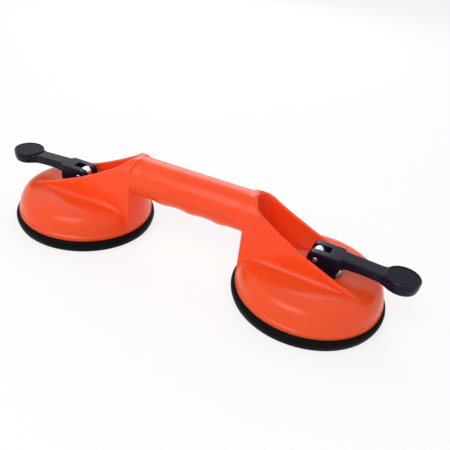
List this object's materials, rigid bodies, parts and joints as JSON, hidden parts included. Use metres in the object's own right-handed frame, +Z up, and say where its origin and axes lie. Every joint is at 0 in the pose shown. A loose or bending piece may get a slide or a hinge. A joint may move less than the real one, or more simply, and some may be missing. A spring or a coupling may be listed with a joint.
{
  "type": "floor tile suction lifter",
  "caption": "Vacuum lifting handle for floor tiles and glass: a straight grip between domed suction cups, each locked by a cam lever.",
  "frame": {"origin": "on the surface that the rubber rims stand on, midway between the cups", "axes": "+Z up, +X along the grip towards the right-hand cup, +Y across the grip"},
  "size_m": [0.3612, 0.1202, 0.0742],
  "materials": {
    "orange_plastic": "glossy fluorescent orange-red ABS",
    "black_plastic": "satin near-black moulded nylon",
    "black_rubber": "smooth black rubber",
    "bright_steel": "bright zinc-plated steel",
    "zinc_steel": "dull zinc-plated steel"
  },
  "bodies": {
    "housing": {"handle_body": "orange_plastic", "right_rubber_disc": "black_rubber", "right_wear_plate": "bright_steel", "left_rubber_disc": "black_rubber", "left_wear_plate": "bright_steel"},
    "right_tongue": {"right_pull_tongue": "bright_steel", "right_pivot_pin": "bright_steel", "right_anchor_plate": "zinc_steel", "right_lock_nut": "zinc_steel"},
    "right_lever": {"right_lever": "black_plastic"},
    "left_tongue": {"left_pull_tongue": "bright_steel", "left_pivot_pin": "bright_steel", "left_anchor_plate": "zinc_steel", "left_lock_nut": "zinc_steel"},
    "left_lever": {"left_lever": "black_plastic"}
  },
  "joints": [
    {"name": "right_draw", "type": "slide", "parent": "housing", "child": "right_tongue", "axis": [0, 0, 1], "range_m": [-0.00398, 0], "deforming": ["right_rubber_disc"]},
    {"name": "right_lever_lift", "type": "hinge", "parent": "right_tongue", "child": "right_lever", "pos_m": [0.1063, 0, 0.042], "axis": [0, -1, 0], "range_deg": [0, 95]},
    {"name": "left_draw", "type": "slide", "parent": "housing", "child": "left_tongue", "axis": [0, 0, 1], "range_m": [-0.00398, 0], "deforming": ["left_rubber_disc"]},
    {"name": "left_lever_lift", "type": "hinge", "parent": "left_tongue", "child": "left_lever", "pos_m": [-0.1063, 0, 0.042], "axis": [0, 1, 0], "range_deg": [0, 95]}
  ],
  "couplings": [
    {"joint": "right_lever_lift", "follows": "right_draw", "rad_per_m": -416.67},
    {"joint": "left_lever_lift", "follows": "left_draw", "rad_per_m": -416.67}
  ]
}
